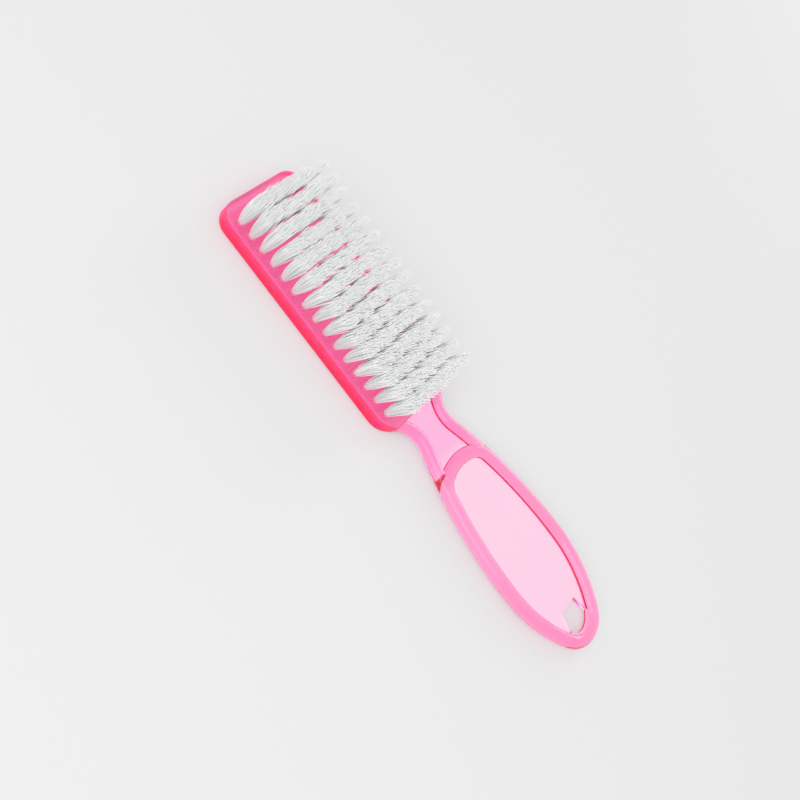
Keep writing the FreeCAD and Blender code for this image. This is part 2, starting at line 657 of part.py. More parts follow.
def make_anchor_rank(number):
    """One rank of anchors. Each is a short flat wire on edge, with both its ends in the plastic."""
    body = new_body(f"anchor_rank_{number:02d}")
    outline = new_sketch(body, f"{body.Label}_outline", "XZ_Plane")
    outline.setExpression("AttachmentOffset.Base.y", f"{ANCHOR_FOOT} + sizes.anchor_height / 2")
    outline.setExpression("AttachmentOffset.Base.z", f"{TUFT_SPAN} / 2")
    draw_centred_box(outline, "sizes.anchor_thickness", "sizes.anchor_height")
    wire = body.newObject("PartDesign::Pad", f"{body.Label}_wire")
    wire.Profile = outline
    wire.SideType = "Symmetric"
    wire.setExpression("Length", ANCHOR_LENGTH)
    document.recompute()
    repeat_across(body, wire)
    place_rank(body, number)
    return body


def make_brush_body():
    """The whole moulding, from the head plate to the holes in it."""
    body = new_body("brush_body")
    head = make_head(body)
    panel = make_panel(body, head)
    neck_rims = make_neck_rims(body, panel)
    grip_rim = make_grip_rim(body, neck_rims)
    hang_hole = make_hang_hole(body, grip_rim)
    make_tuft_holes(body, hang_hole)
    return body


def check_document(pieces, solids_in_rank):
    """Stops the build if any feature failed or any piece isn't the closed solids that it should be."""
    for item in document.Objects:
        if "Invalid" in item.State or "Error" in item.State:
            raise RuntimeError(f"{item.Label} failed: {item.State}")
    for piece in pieces:
        expected = 1 if piece.Label == "brush_body" else solids_in_rank
        if piece.Shape.isNull() or not piece.Shape.isValid():
            raise RuntimeError(f"{piece.Label} has no valid shape")
        if len(piece.Shape.Solids) != expected:
            raise RuntimeError(f"{piece.Label} has {len(piece.Shape.Solids)} solids, not {expected}")


ranks = range(1, int(size("tuft_ranks")) + 1)
pieces = [make_brush_body()]
pieces += [make_tuft_rank(number) for number in ranks]
pieces += [make_anchor_rank(number) for number in ranks]
document.recompute()
check_document(pieces, int(size("rank_tufts")))

os.makedirs("parts", exist_ok=True)
for piece in pieces:
    piece.Shape.exportStep(f"parts/{piece.Label}.step")
    print(piece.Label, len(piece.Shape.Solids), round(piece.Shape.Volume, 2))
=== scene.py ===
import math

import bpy
from bpy.props import FloatProperty, FloatVectorProperty, IntProperty, PointerProperty
from bpy.types import NodeSocket, Operator, Panel, PropertyGroup
from mathutils import Matrix, Vector

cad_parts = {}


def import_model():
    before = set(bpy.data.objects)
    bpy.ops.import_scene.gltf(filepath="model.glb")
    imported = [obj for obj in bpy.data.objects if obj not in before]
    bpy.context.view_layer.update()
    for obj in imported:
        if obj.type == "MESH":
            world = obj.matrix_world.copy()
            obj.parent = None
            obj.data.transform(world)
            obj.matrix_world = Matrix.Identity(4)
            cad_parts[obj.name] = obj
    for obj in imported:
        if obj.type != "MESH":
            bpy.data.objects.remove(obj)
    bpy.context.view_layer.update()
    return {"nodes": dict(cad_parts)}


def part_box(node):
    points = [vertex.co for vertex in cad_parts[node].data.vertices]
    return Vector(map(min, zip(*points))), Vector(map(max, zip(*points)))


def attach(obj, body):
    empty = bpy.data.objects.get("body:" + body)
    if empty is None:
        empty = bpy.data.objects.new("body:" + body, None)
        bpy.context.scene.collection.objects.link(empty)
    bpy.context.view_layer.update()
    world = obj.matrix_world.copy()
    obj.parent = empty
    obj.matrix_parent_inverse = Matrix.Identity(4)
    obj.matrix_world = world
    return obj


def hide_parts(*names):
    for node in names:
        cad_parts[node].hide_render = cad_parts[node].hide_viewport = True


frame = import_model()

bl_info = {
    "name": "Nail Brush",
    "version": (1, 0, 0),
    "blender": (4, 5, 0),
    "location": "3D View > Sidebar > Nail Brush",
    "description": "Dresses a long-handled nail brush: tinted plastic body, nylon bristles and steel anchors",
    "category": "Object",
}

# Names of the nodes, and the places and sizes that the bristles take from them. All are in metres.
BODY = "brush_body"
TUFT_RANKS = sorted(name for name in frame["nodes"] if name.startswith("tuft_rank_"))
ANCHOR_RANKS = sorted(name for name in frame["nodes"] if name.startswith("anchor_rank_"))
BODY_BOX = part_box(BODY)
TUFT_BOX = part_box(TUFT_RANKS[0])
LAST_TUFT_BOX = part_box(TUFT_RANKS[-1])
ANCHOR_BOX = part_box(ANCHOR_RANKS[0])
TUFTS_IN_RANK = 5
TUFT_RADIUS = (TUFT_BOX[1].x - TUFT_BOX[0].x) / 2
TUFT_PITCH = (TUFT_BOX[1].y - TUFT_BOX[0].y - 2 * TUFT_RADIUS) / (TUFTS_IN_RANK - 1)
HEAD_FACE = BODY_BOX[1].z
HOLE_FLOOR = TUFT_BOX[0].z
BRISTLE_TIP = TUFT_BOX[1].z
ANCHOR_FOOT = ANCHOR_BOX[0].z
ANCHOR_TOP = ANCHOR_BOX[1].z
ANCHOR_HALF = (ANCHOR_BOX[1].x - ANCHOR_BOX[0].x) / 2
LAST_RANK_PLACE = (LAST_TUFT_BOX[0].x + LAST_TUFT_BOX[1].x) / 2

GOLDEN_ANGLE = math.pi * (3 - math.sqrt(5))
FILAMENT_SIDES = 5
FILAMENT_RINGS = 9
WHITE = (1.0, 1.0, 1.0, 1.0)
BLACK = (0.0, 0.0, 0.0, 1.0)

# How a filament's rings crowd towards its root, how early it spreads, and how its end is blunted.
RING_CROWDING = 1.8
EARLY_SPREAD = 1.9
END_SHARPNESS = 8.0
END_TAPER = 0.3

# How sharply the narrowing of the far tufts leaves out the others.
FAR_ONLY = 4.0

# What is drawn at random for tufts and filaments, in the order of their seeds, and how far the seeds of one
# rank are from those of the next.
DRAWS = (
    "turn", "spread", "lean along", "lean across", "stray along", "stray across", "ragged", "uneven", "shade")
SEEDS_PER_RANK = 100

# Wear of smooth surfaces: how scratches are drawn out, which part of each noise counts, and how much it wears.
SCRATCH_STRETCH = (0.12, 1.0, 1.0)
SCRATCH_DETAIL = 2.0
SCRATCH_RANGE = (0.58, 0.75)
SCRATCH_WEAR = 0.8
SCRATCH_DEPTH = 0.15
PATCH_DETAIL = 4.0
PATCH_RANGE = (0.42, 0.75)
PATCH_WEAR = 0.6

# The plastic: scales of its patterns per metre, the roughness that wear adds, and the depth of its scuffs.
PLASTIC_SCALES = {"Patch Scale": 60.0, "Scratch Scale": 900.0}
PLASTIC_WEAR = 0.12
PLASTIC_BUMP = {"Strength": 0.06, "Distance": 0.0002}
CLOUD_SCALE = 35.0
CLOUD_DETAIL = 3.0

# The anchors' wire, in the same way.
WIRE_SCALES = {"Patch Scale": 900.0, "Scratch Scale": 6000.0}
WIRE_WEAR = 0.25
WIRE_BUMP = {"Strength": 0.2, "Distance": 0.00002}

# The nylon: its streaks along the filaments, the roughness between them and on them, and its refractive index.
STREAK_STRETCH = (1.0, 1.0, 0.08)
STREAK_SCALE = 2500.0
STREAK_DETAIL = 2.0
NYLON_ROUGHNESS = (0.28, 0.5)
NYLON_REFRACTION = 1.53

# The floor's matt surface, the camera's sensor in millimetres, and the nearest thing that it shows in metres.
FLOOR_ROUGHNESS = 0.9
FLOOR_SHINE = 0.2
SENSOR_WIDTH = 36
NEAREST_SHOWN = 0.01

# How often light may bounce, so that the thick plastic and the dense bristles don't go dark.
BOUNCES = {"max_bounces": 36, "diffuse_bounces": 16, "glossy_bounces": 24, "transmission_bounces": 36}


class BodyFinish(PropertyGroup):
    """The tinted plastic of the body."""

    surface: FloatVectorProperty(
        name="Surface", description="Tint of the plastic at its surface",
        subtype="COLOR", min=0, max=1, default=(1.0, 0.94, 0.97))
    # Also the colour of the painted highlight along the head's top edges and at its end.
    clear_surface_and_highlight: FloatVectorProperty(
        name="Clear Surface", description="Tint of the palest clouds in the plastic's surface",
        subtype="COLOR", min=0, max=1, default=(1.0, 0.99, 0.995))
    tint: FloatVectorProperty(
        name="Tint", description="Colour that the plastic lets through, deeper where it is thicker",
        subtype="COLOR", min=0, max=1, default=(0.998, 0.0, 0.53))
    density: FloatProperty(
        name="Density", description="How strongly a metre of the plastic takes the other colours away",
        min=0, default=240.0)
    clearness: FloatProperty(
        name="Clearness", description="Share of the light that passes through the plastic",
        subtype="FACTOR", min=0, max=1, default=1.0)
    refraction: FloatProperty(
        name="Refraction", description="Refractive index of the plastic",
        min=1, max=2, default=1.5)
    roughness: FloatProperty(
        name="Roughness", description="Roughness of the clean moulded surface",
        subtype="FACTOR", min=0, max=1, default=0.08)
    # Painted shade: the head's surface is deepened to stand for the shadow that the head and its bristles cast
    # on the floor beneath, which the even card leaves out.
    head_shade_tint: FloatVectorProperty(
        name="Head Tint", description="Deeper tint of the surface on the thick head",
        subtype="COLOR", min=0, max=1, default=(0.93, 0.55, 0.66))
    head_reach: FloatProperty(
        name="Head Reach", description="How far past the last rank of tufts the head's tint reaches",
        unit="LENGTH", default=0.0045)
    head_fade: FloatProperty(
        name="Head Fade", description="Length over which the head's tint fades out",
        unit="LENGTH", default=0.003)
    neck_tint: FloatVectorProperty(
        name="Neck Tint", description="Tint of the surface on the neck",
        subtype="COLOR", min=0, max=1, default=(1.0, 0.74, 0.91))
    neck_reach: FloatProperty(
        name="Neck Reach", description="How far past the last rank of tufts the neck's tint reaches",
        unit="LENGTH", default=0.021)
    neck_fade: FloatProperty(
        name="Neck Fade", description="Length over which the neck's tint fades out",
        unit="LENGTH", default=0.006)
    # Painted light: the side walls' deep red stands for light that has crossed the whole plate; the walls are
    # of the same plastic as the rest.
    painted_wall_red: FloatVectorProperty(
        name="Wall Tint", description="Tint of the head's side walls, where light has crossed the whole plate",
        subtype="COLOR", min=0, max=1, default=(1.0, 0.018, 0.38))
    wall_reach: FloatProperty(
        name="Wall Reach", description="How far past the last rank of tufts the walls keep their full tint",
        unit="LENGTH", default=0.004)
    wall_run: FloatProperty(
        name="Wall Run", description="Length over which the walls' tint runs out along the shoulders",
        unit="LENGTH", default=0.003)
    wall_place: FloatProperty(
        name="Wall Place", description="Distance from the middle plane at which the head's side walls start",
        unit="LENGTH", default=0.0161)
    shoulder_place: FloatProperty(
        name="Shoulder Place",
        description="How far past the last rank of tufts the walls start to turn inwards",
        unit="LENGTH", default=-0.0016)
    shoulder_radius: FloatProperty(
        name="Shoulder Radius", description="Radius of that turn in plan",
        unit="LENGTH", default=0.0085)
    corner_radius: FloatProperty(
        name="Corner Radius", description="Radius of the corners at the head's end in plan",
        unit="LENGTH", default=0.006)
    wall_fade: FloatProperty(
        name="Wall Fade", description="Width over which the walls' tint and frosting come in",
        unit="LENGTH", default=0.0003)
    # Painted highlight: a paler line along the head's top edges.
    edge_width: FloatProperty(
        name="Edge Width", description="Width of the paler line along the head's edges",
        unit="LENGTH", default=0.0005)
    # Painted highlight: a paler band at the head's end; the same band bounds the end wall's painted glow and
    # frosting.
    end_width: FloatProperty(
        name="End Width", description="Width of the paler band at the head's end",
        unit="LENGTH", default=0.0014)
    end_fade: FloatProperty(
        name="End Fade", description="Length over which that band fades out",
        unit="LENGTH", default=0.0016)
    wall_edge: FloatProperty(
        name="Wall Edge", description="How far the walls' frosting stays from the head's face and back",
        unit="LENGTH", default=0.0004)
    wall_roughness: FloatProperty(
        name="Wall Roughness", description="Roughness of the head's walls, which keep the mould's grain",
        subtype="FACTOR", min=0, max=1, default=0.5)
    # Painted glow: the head's walls give out light of their own, though they are no lamp, to stand for light
    # gathered in the plate; it is red low on the walls and paler by the face and at the head's end.
    painted_wall_glow: FloatVectorProperty(
        name="Wall Glow", description="Light that the dyed plate gathers and gives out low on the head's walls",
        subtype="COLOR", min=0, max=1, default=(1.0, 0.0, 0.16))
    painted_rim_glow: FloatVectorProperty(
        name="Rim Glow", description="Light that it gives out by the face and at the head's end",
        subtype="COLOR", min=0, max=1, default=(1.0, 0.12, 0.42))
    rim_low: FloatProperty(
        name="Rim Low", description="Height on the walls at which the light starts to turn paler",
        unit="LENGTH", default=0.0024)
    painted_glow_strength: FloatProperty(
        name="Glow Strength", description="Strength of the light given out at the walls",
        min=0, default=0.34)


class BristleSizes(PropertyGroup):
    """The bristles of the tufts."""

    filaments: IntProperty(
        name="Filaments", description="Filament ends in one tuft",
        min=1, default=140)
    thickness: FloatProperty(
        name="Thickness", description="Diameter of one filament",
        unit="LENGTH", default=0.00026)
    root_radius: FloatProperty(
        name="Root Radius", description="Radius of the bundle inside its hole",
        unit="LENGTH", default=0.00105)
    spread: FloatProperty(
        name="Spread", description="How far a tuft reaches along the head at its tips",
        unit="LENGTH", default=0.0022)
    side_spread: FloatProperty(
        name="Side Spread", description="How far a tuft reaches across the head at its tips",
        unit="LENGTH", default=0.0035)
    far_narrowing: FloatProperty(
        name="Far Narrowing", description="How much less the tufts along the far side spread along the head",
        subtype="FACTOR", min=0, max=1, default=0.34)
    squareness: FloatProperty(
        name="Squareness", description="How far a tuft's end fills the corners between it and its neighbours",
        subtype="FACTOR", min=0, max=1, default=0.3)
    mouth_depth: FloatProperty(
        name="Mouth Depth", description="How far below the head's face the filaments start to spread",
        unit="LENGTH", default=0.0005)
    looseness: FloatProperty(
        name="Looseness", description="How unevenly the filaments spread",
        subtype="FACTOR", min=0, max=1, default=0.13)
    crown: FloatProperty(
        name="Crown", description="How much lower the edge of a tuft's end is than its middle",
        unit="LENGTH", default=0.0005)
    tail_lean: FloatProperty(
        name="Tail Lean", description="How far the tips of the rank nearest the grip lean towards it",
        unit="LENGTH", default=0.0014)
    rank_sway: FloatProperty(
        name="Rank Sway", description="How far whole ranks lean to or from their neighbours",
        unit="LENGTH", default=0.00015)
    side_lean: FloatProperty(
        name="Side Lean", description="How far the tips of the outermost tufts lean out across the head",
        unit="LENGTH", default=0.0003)
    tuft_lean: FloatProperty(
        name="Tuft Lean", description="How far a whole tuft leans at random",
        unit="LENGTH", default=0.0004)
    stray: FloatProperty(
        name="Stray", description="How far a single filament bends at random",
        unit="LENGTH", default=0.0002)
    ragged: FloatProperty(
        name="Ragged", description="How much shorter the shortest filaments of a tuft are",
        unit="LENGTH", default=0.0013)
    uneven: FloatProperty(
        name="Uneven", description="How much shorter the shortest tufts are",
        unit="LENGTH", default=0.0005)
    colour: FloatVectorProperty(
        name="Colour", description="Colour of the cleanest filaments",
        subtype="COLOR", min=0, max=1, default=(0.97, 0.975, 0.97))
    dull_colour: FloatVectorProperty(
        name="Dull Colour", description="Colour of the dullest filaments",
        subtype="COLOR", min=0, max=1, default=(0.90, 0.92, 0.915))


class AnchorFinish(PropertyGroup):
    """The flat wire of the anchors."""

    colour: FloatVectorProperty(
        name="Colour", description="Colour of the drawn wire",
        subtype="COLOR", min=0, max=1, default=(0.80, 0.80, 0.78))
    dull_colour: FloatVectorProperty(
        name="Dull Colour", description="Colour of the wire's dullest lines",
        subtype="COLOR", min=0, max=1, default=(0.60, 0.59, 0.57))
    roughness: FloatProperty(
        name="Roughness", description="Roughness of the drawn wire",
        subtype="FACTOR", min=0, max=1, default=0.32)


class StageSettings(PropertyGroup):
    """Floor, light and camera."""

    floor_colour: FloatVectorProperty(
        name="Floor Colour", description="Colour of the floor",
        subtype="COLOR", min=0, max=1, default=(0.76, 0.76, 0.76))
    floor_width: FloatProperty(
        name="Floor Width", description="Width of the floor",
        unit="LENGTH", default=4.0)
    floor_drop: FloatProperty(
        name="Floor Drop",
        description="Hairline gap under the brush, so that its back and the floor stay apart",
        unit="LENGTH", default=0.00005)
    card_seen: FloatProperty(
        name="Card Seen", description="How far the camera sees the floor as an even white card, without shadow",
        subtype="FACTOR", min=0, max=1, default=0.3)
    card_shown: FloatProperty(
        name="Card Shown", description="How far the plastic and the metal show the floor as that card",
        subtype="FACTOR", min=0, max=1, default=1.0)
    sky: FloatProperty(
        name="Sky", description="Strength of the even light from all round",
        min=0, default=0.62)
    key_power: FloatProperty(
        name="Key Power", description="Power of the large lamp above the brush",
        unit="POWER", default=4.7)
    key_width: FloatProperty(
        name="Key Width", description="Width of the large lamp",
        unit="LENGTH", default=0.9)
    key_place: FloatVectorProperty(
        name="Key Place", description="Place of the large lamp",
        subtype="XYZ", unit="LENGTH", default=(-0.12, -0.58, 0.68))
    back_power: FloatProperty(
        name="Back Power", description="Power of the lamp behind the brush",
        unit="POWER", default=1.0)
    back_width: FloatProperty(
        name="Back Width", description="Width of the lamp behind the brush",
        unit="LENGTH", default=0.35)
    back_place: FloatVectorProperty(
        name="Back Place", description="Place of the lamp behind the brush",
        subtype="XYZ", unit="LENGTH", default=(0.10, 0.75, 0.32))
    bearing: FloatProperty(
        name="Bearing", description="Turn of the camera about the upright axis",
        subtype="ANGLE", default=math.radians(-12.013))
    elevation: FloatProperty(
        name="Elevation", description="Height angle of the camera",
        subtype="ANGLE", default=math.radians(49.747))
    roll: FloatProperty(
        name="Roll", description="Turn of the camera about its own line of sight",
        subtype="ANGLE", default=math.radians(62.14))
    distance: FloatProperty(
        name="Distance", description="Camera to the point that it looks at",
        unit="LENGTH", default=0.28866)
    aim: FloatVectorProperty(
        name="Aim", description="Point on the floor that the camera looks at",
        subtype="XYZ", unit="LENGTH", default=(-0.011013, 0.0, 0.0))
    lens: FloatProperty(
        name="Lens", description="Focal length in millimetres on a sensor 36 mm wide",
        default=42.21)
    shift: FloatVectorProperty(
        name="Shift", description="Shift of the picture, as a share of its width",
        size=2, default=(-0.0030, -0.0021))


class NodeWriter:
    """Writes nodes into a tree. An input takes a plain value or another node's output."""

    def __init__(self, tree):
        self.tree = tree

    def add(self, kind, values=None, **settings):
        """A new node with its settings and inputs."""
        node = self.tree.nodes.new(kind)
        for name, setting in settings.items():
            setattr(node, name, setting)
        self.fill(node, values or {})
        return node

    def fill(self, node, values):
        """Sets or links a node's inputs. They go by their name or, where names repeat, by their number."""
        for name, value in values.items():
            target = node.inputs[name] if isinstance(name, int) else self.enabled(node.inputs, name)
            if isinstance(value, NodeSocket):
                self.tree.links.new(value, target)
            else:
                target.default_value = value

    def enabled(self, sockets, name):
        """The socket of that name that is in use, because some nodes have one for each kind of value."""
        return next(socket for socket in sockets if socket.name == name and socket.enabled)

    def math(self, operation, *values, clamp=False):
        """The result of a sum on one to three values."""
        node = self.add("ShaderNodeMath", dict(enumerate(values)), operation=operation, use_clamp=clamp)
        return node.outputs[0]

    def ramp(self, value, start, stop, low=0.0, high=1.0):
        """A level that runs from low to high between two places, and stays level beyond them."""
        values = {"Value": value, "From Min": start, "From Max": stop, "To Min": low, "To Max": high}
        return self.add("ShaderNodeMapRange", values).outputs[0]

    def noise(self, position, scale, detail):
        """Soft noise between 0 and 1."""
        values = {"Vector": position, "Scale": scale, "Detail": detail}
        return self.add("ShaderNodeTexNoise", values).outputs[0]

    def scaled_sum(self, terms):
        """The sum of vectors, each scaled by a value."""
        total = None
        for vector, factor in terms:
            scaled = self.add("ShaderNodeVectorMath", {"Vector": vector, "Scale": factor}, operation="SCALE")
            if total is None:
                total = scaled.outputs[0]
            else:
                added = self.add("ShaderNodeVectorMath", {0: total, 1: scaled.outputs[0]}, operation="ADD")
                total = added.outputs[0]
        return total

    def mix(self, factor, first, second, blend="MIX"):
        """A colour between two, or a product of them, each a plain colour or another node's output."""
        values = {"Factor": factor, "A": first, "B": second}
        node = self.add("ShaderNodeMix", values, data_type="RGBA", blend_type=blend)
        return self.enabled(node.outputs, "Result")

    def vector(self, x, y, z):
        """A vector from its three parts."""
        return self.add("ShaderNodeCombineXYZ", {"X": x, "Y": y, "Z": z}).outputs[0]

    def parts(self, vector):
        """The three parts of a vector."""
        return self.add("ShaderNodeSeparateXYZ", {"Vector": vector}).outputs

    def chance(self, low, high, number, seed):
        """A random value that depends only on a whole number and a seed."""
        values = {"Min": low, "Max": high, "ID": number, "Seed": seed}
        return self.enabled(self.add("FunctionNodeRandomValue", values, data_type="FLOAT").outputs, "Value")


def opaque(colour):
    """A colour with full cover, as the nodes take it."""
    return (*colour, 1.0)


def add_inputs(tree, kinds):
    """Gives a node group its named inputs, and returns them by name."""
    return {
        name: tree.interface.new_socket(name, in_out="INPUT", socket_type=kind)
        for name, kind in kinds
    }


RANK_INPUTS = [
    ("Tufts", "NodeSocketInt"),
    ("Filaments", "NodeSocketInt"),
    ("Rank Place", "NodeSocketFloat"),
    ("Tuft Pitch", "NodeSocketFloat"),
    ("Hole Floor", "NodeSocketFloat"),
    ("Anchor Foot", "NodeSocketFloat"),
    ("Anchor Top", "NodeSocketFloat"),
    ("Anchor Gap", "NodeSocketFloat"),
    ("Mouth", "NodeSocketFloat"),
    ("Tip", "NodeSocketFloat"),
    ("Filament Radius", "NodeSocketFloat"),
    ("Root Radius", "NodeSocketFloat"),
    ("Spread", "NodeSocketFloat"),
    ("Side Spread", "NodeSocketFloat"),
    ("Far Narrowing", "NodeSocketFloat"),
    ("Squareness", "NodeSocketFloat"),
    ("Looseness", "NodeSocketFloat"),
    ("Crown", "NodeSocketFloat"),
    ("Tail Lean", "NodeSocketFloat"),
    ("Side Lean", "NodeSocketFloat"),
    ("Tuft Lean", "NodeSocketFloat"),
    ("Stray", "NodeSocketFloat"),
    ("Ragged", "NodeSocketFloat"),
    ("Uneven", "NodeSocketFloat"),
    ("Seed", "NodeSocketInt"),
    ("Material", "NodeSocketMaterial"),
]


def filament_roots(write, given):
    """Points for all filaments of a rank, each with where it stands, how it spreads and how it leans."""
    number = write.add("GeometryNodeInputIndex").outputs[0]
    tuft = write.math("FLOOR", write.math("DIVIDE", number, given["Filaments"]))
    strand = write.math("SUBTRACT", number, write.math("MULTIPLY", tuft, given["Filaments"]))

    def chance(low, high, which, draw):
        seed = write.math("ADD", given["Seed"], 1 + DRAWS.index(draw))
        return write.chance(low, high, which, seed)

    def either_way(amount, which, draw):
        return chance(write.math("MULTIPLY", amount, -1.0), amount, which, draw)

    # The ends fill a disc evenly, in the order of the seeds of a sunflower.
    reach = write.math("SQRT", write.math("DIVIDE", write.math("ADD", strand, 0.5), given["Filaments"]))
    bearing = write.math("MULTIPLY_ADD", strand, GOLDEN_ANGLE, chance(0.0, 2 * math.pi, tuft, "turn"))
    disc_x = write.math("MULTIPLY", reach, write.math("COSINE", bearing))
    disc_y = write.math("MULTIPLY", reach, write.math("SINE", bearing))

    # At the foot of the hole they stand on both sides of the anchor, and above it they close up.
    room = write.math("SUBTRACT", given["Root Radius"], given["Anchor Gap"])
    from_anchor = write.math("MULTIPLY_ADD", write.math("ABSOLUTE", disc_x), room, given["Anchor Gap"])
    root_x = write.math("MULTIPLY", write.math("SIGN", disc_x), from_anchor)
    root_y = write.math("MULTIPLY", disc_y, given["Root Radius"])
    fold_depth = write.math("SUBTRACT", given["Anchor Foot"], given["Hole Floor"])
    fold_share = write.math("DIVIDE", from_anchor, given["Root Radius"])
    fold = write.math("SUBTRACT", given["Anchor Foot"], write.math("MULTIPLY", fold_share, fold_depth))
    closed_x = write.math("MULTIPLY", disc_x, given["Root Radius"])

    # Towards its tips a tuft spreads and squares up, but less so on the far side of the head.
    middle = write.math("DIVIDE", write.math("SUBTRACT", given["Tufts"], 1.0), 2.0)
    from_middle = write.math("SUBTRACT", tuft, middle)
    side = write.math("DIVIDE", from_middle, middle)
    far = write.math("POWER", write.math("MAXIMUM", side, 0.0), FAR_ONLY)
    narrower = write.math("SUBTRACT", 1.0, write.math("MULTIPLY", far, given["Far Narrowing"]))
    looser = write.math("ADD", either_way(given["Looseness"], number, "spread"), 1.0)
    along_head = write.math("MULTIPLY", given["Spread"], write.math("MULTIPLY", looser, narrower))
    wider_x = write.math("SUBTRACT", along_head, given["Root Radius"])
    wider_y = write.math("SUBTRACT", write.math("MULTIPLY", given["Side Spread"], looser), given["Root Radius"])
    in_corner = write.math("ABSOLUTE", write.math("SINE", write.math("MULTIPLY", bearing, 2.0)))
    squarer = write.math("MULTIPLY", given["Squareness"], write.math("SUBTRACT", 1.0, far))
    cornered = write.math("MULTIPLY_ADD", in_corner, squarer, 1.0)
    spread_x = write.math("MULTIPLY", write.math("MULTIPLY", disc_x, cornered), wider_x)
    spread_y = write.math("MULTIPLY", write.math("MULTIPLY", disc_y, cornered), wider_y)

    # Tufts and single filaments lean and end unevenly.
    place = write.vector(given["Rank Place"], write.math("MULTIPLY", from_middle, given["Tuft Pitch"]), 0.0)
    tuft_x = write.math("ADD", given["Tail Lean"], either_way(given["Tuft Lean"], tuft, "lean along"))
    out_y = either_way(given["Tuft Lean"], tuft, "lean across")
    tuft_y = write.math("MULTIPLY_ADD", side, given["Side Lean"], out_y)
    lean_x = write.math("ADD", tuft_x, either_way(given["Stray"], number, "stray along"))
    lean_y = write.math("ADD", tuft_y, either_way(given["Stray"], number, "stray across"))
    tip = write.math("SUBTRACT", given["Tip"], chance(0.0, given["Ragged"], number, "ragged"))
    tip = write.math("SUBTRACT", tip, chance(0.0, given["Uneven"], tuft, "uneven"))
    lower = write.math("MULTIPLY", given["Crown"], write.math("MULTIPLY", reach, reach))
    tip = write.math("SUBTRACT", tip, lower)

    count = write.math("MULTIPLY", given["Tufts"], given["Filaments"])
    points = write.add("GeometryNodePoints", {"Count": count}).outputs[0]
    shade = chance(0.0, 1.0, number, "shade")
    values = {"Geometry": points, "Name": "shade", "Value": shade}
    tinted = write.add("GeometryNodeStoreNamedAttribute", values, data_type="FLOAT")
    kept = write.add("GeometryNodeCaptureAttribute", {"Geometry": tinted.outputs[0]})
    fields = {
        "Place": place,
        "Root": write.vector(root_x, root_y, fold),
        "Close": write.vector(write.math("SUBTRACT", closed_x, root_x), 0.0, 0.0),
        "Spread": write.vector(spread_x, spread_y, 0.0),
        "Lean": write.vector(lean_x, lean_y, tip),
    }
    for name, field in fields.items():
        kept.capture_items.new("VECTOR", name)
        write.tree.links.new(field, kept.inputs[name])
    return kept


def bend_filaments(write, given, straight, kept):
    """Bends unit filaments: a fold under the anchor, a run up the hole, then the tuft's spread and lean."""
    across_x, across_y, along = write.parts(write.add("GeometryNodeInputPosition").outputs[0])
    root_x, root_y, fold = write.parts(kept.outputs["Root"])
    lean_x, lean_y, tip = write.parts(kept.outputs["Lean"])

    # Rings lie closer together towards the root, where the fold is.
    share = write.math("POWER", write.math("ADD", along, 0.5, clamp=True), RING_CROWDING)
    height = write.math("MULTIPLY_ADD", share, write.math("SUBTRACT", tip, fold), fold)
    below = write.math("SUBTRACT", given["Anchor Foot"], height)
    fold_depth = write.math("SUBTRACT", given["Anchor Foot"], fold)
    down = write.math("DIVIDE", below, fold_depth, clamp=True)
    tuck = write.math("SQRT", write.math("SUBTRACT", 1.0, write.math("MULTIPLY", down, down), clamp=True))
    past_anchor = write.math("SUBTRACT", height, given["Anchor Top"])
    hole_left = write.math("SUBTRACT", given["Mouth"], given["Anchor Top"])
    close = write.math("DIVIDE", past_anchor, hole_left, clamp=True)
    above = write.math("SUBTRACT", height, given["Mouth"])
    free = write.math("DIVIDE", above, write.math("SUBTRACT", tip, given["Mouth"]), clamp=True)
    eased = write.math("MULTIPLY_ADD", free, 1.0 - EARLY_SPREAD, EARLY_SPREAD)
    flare = write.math("MULTIPLY", free, eased)
    bend = write.math("MULTIPLY", free, free)
    blunt = write.math("MULTIPLY_ADD", write.math("POWER", free, END_SHARPNESS), -END_TAPER, 1.0)
    radius = write.math("MULTIPLY", given["Filament Radius"], blunt)

    root = write.vector(write.math("MULTIPLY", root_x, tuck), root_y, height)
    position = write.scaled_sum([
        (kept.outputs["Place"], 1.0),
        (root, 1.0),
        (kept.outputs["Close"], close),
        (kept.outputs["Spread"], flare),
        (write.vector(lean_x, lean_y, 0.0), bend),
        (write.vector(across_x, across_y, 0.0), radius),
    ])
    return write.add("GeometryNodeSetPosition", {"Geometry": straight, "Position": position}).outputs[0]


def build_rank_tree():
    """The node tree of one rank of tufts, and its inputs by name."""
    tree = bpy.data.node_groups.new("Tuft Rank", "GeometryNodeTree")
    inputs = add_inputs(tree, RANK_INPUTS)
    tree.interface.new_socket("Bristles", in_out="OUTPUT", socket_type="NodeSocketGeometry")
    write = NodeWriter(tree)
    given = write.add("NodeGroupInput").outputs
    kept = filament_roots(write, given)
    filament = write.add("GeometryNodeMeshCylinder", {
        "Vertices": FILAMENT_SIDES, "Side Segments": FILAMENT_RINGS, "Radius": 1.0, "Depth": 1.0})
    smooth = write.add("GeometryNodeSetShadeSmooth", {
        "Geometry": filament.outputs["Mesh"], "Selection": filament.outputs["Side"]})
    instances = write.add("GeometryNodeInstanceOnPoints", {
        "Points": kept.outputs["Geometry"], "Instance": smooth.outputs[0]})
    straight = write.add("GeometryNodeRealizeInstances", {"Geometry": instances.outputs[0]})
    bent = bend_filaments(write, given, straight.outputs[0], kept)
    dressed = write.add("GeometryNodeSetMaterial", {"Geometry": bent, "Material": given["Material"]})
    write.add("NodeGroupOutput", {"Bristles": dressed.outputs[0]})
    return tree, inputs


